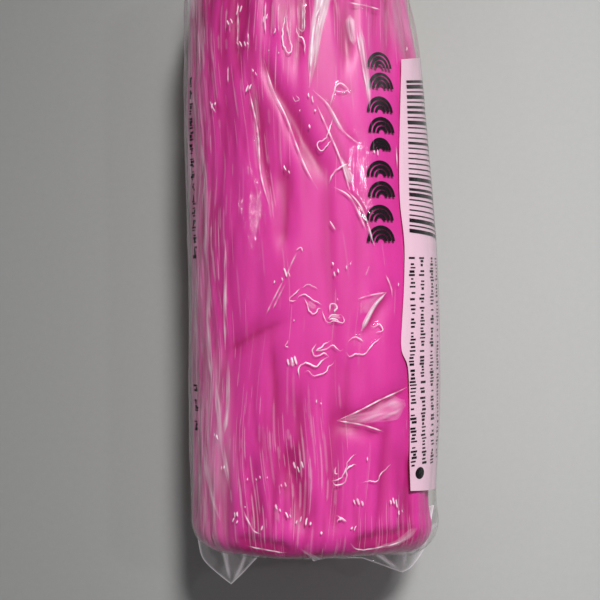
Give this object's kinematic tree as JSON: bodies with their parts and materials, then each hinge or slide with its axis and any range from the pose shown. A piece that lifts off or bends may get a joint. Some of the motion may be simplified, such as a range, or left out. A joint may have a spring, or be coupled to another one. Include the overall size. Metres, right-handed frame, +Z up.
{
  "type": "kamaboko fish cake on a board",
  "caption": "Half-log steamed fish cake, pink outside, on its wooden board and wrapped tight in clear creased film with loose folded ends.",
  "frame": {"origin": "middle of the board's underside", "axes": "+Z up from what it stands on to the crest of the dome, +Y along the length to the back end, +X to the right seen from the front end"},
  "size_m": [0.0545, 0.1423, 0.0439],
  "materials": {
    "fish_cake": "smooth, moist, dyed pink",
    "board": "planed, unfinished softwood",
    "film": "clear glossy film, creased"
  },
  "bodies": {
    "root": {"fish_cake": "fish_cake", "board": "board", "film_front": "film", "film_back": "film"}
  },
  "joints": []
}
